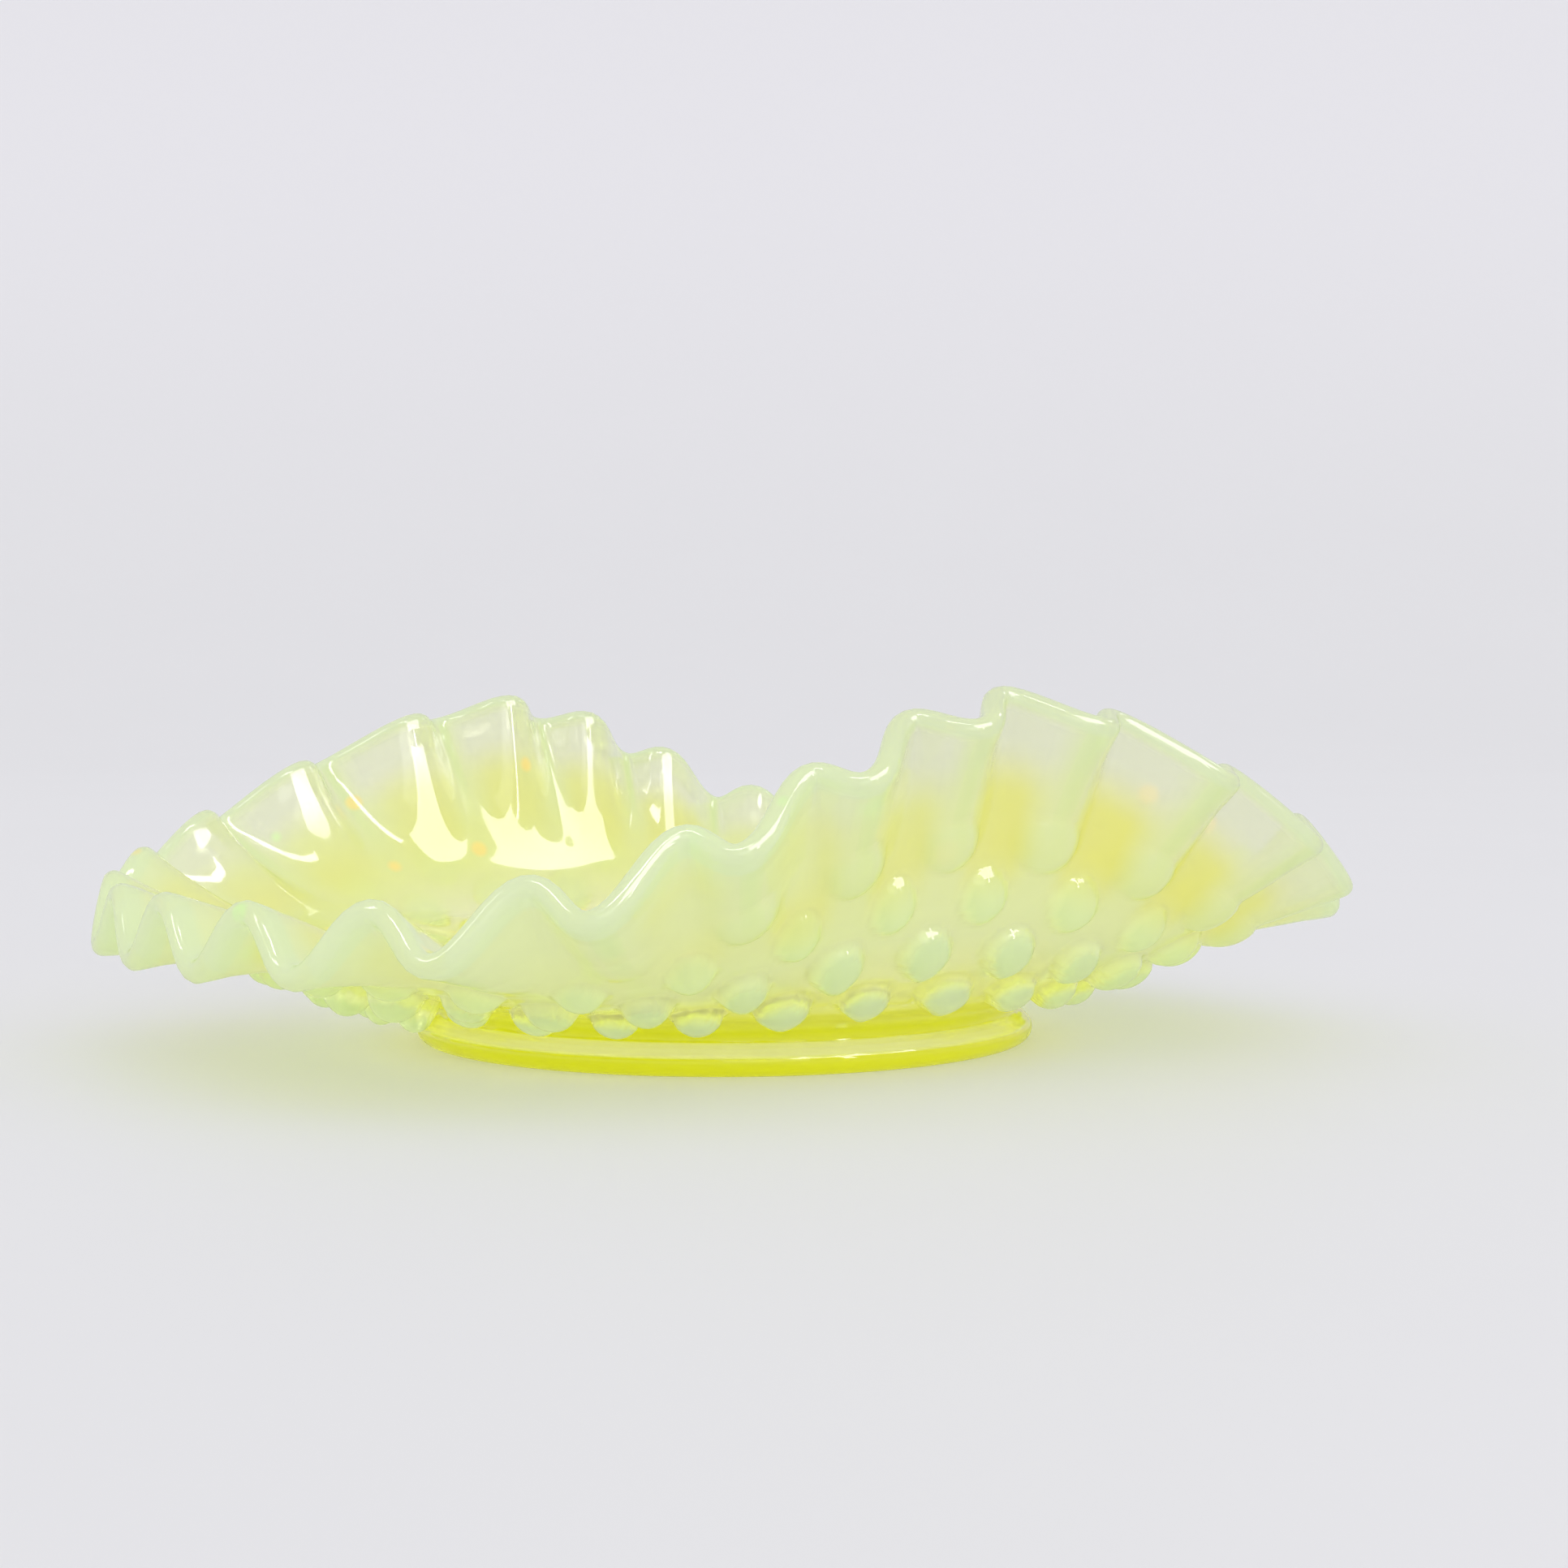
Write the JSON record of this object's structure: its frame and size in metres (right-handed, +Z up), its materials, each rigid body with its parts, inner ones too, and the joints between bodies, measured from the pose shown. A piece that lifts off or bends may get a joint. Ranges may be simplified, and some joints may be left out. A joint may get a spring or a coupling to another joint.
{
  "type": "hobnail glass dish",
  "caption": "Shallow footed glass bowl with a hobnail wall and a crimped rim folded into two high and two low lobes.",
  "frame": {"origin": "centre of the foot, on the surface the dish stands on", "axes": "+Z up, +X along the longest side of the box; the high lobes lie towards -Y and +X, and opposite"},
  "size_m": [0.199, 0.1898, 0.0562],
  "materials": {
    "canary_glass": "polished, clear saturated yellow-green",
    "pale_canary_glass": "polished, clear pale yellow-green",
    "opal_canary_glass": "polished, opalescent pale yellow-green",
    "milky_edge_glass": "fire-polished, milky at the rolled edge"
  },
  "bodies": {
    "root": {"foot_ring": "canary_glass", "floor_disc": "pale_canary_glass", "hobnail_wall": "opal_canary_glass", "crimped_rim": "milky_edge_glass"}
  },
  "joints": []
}
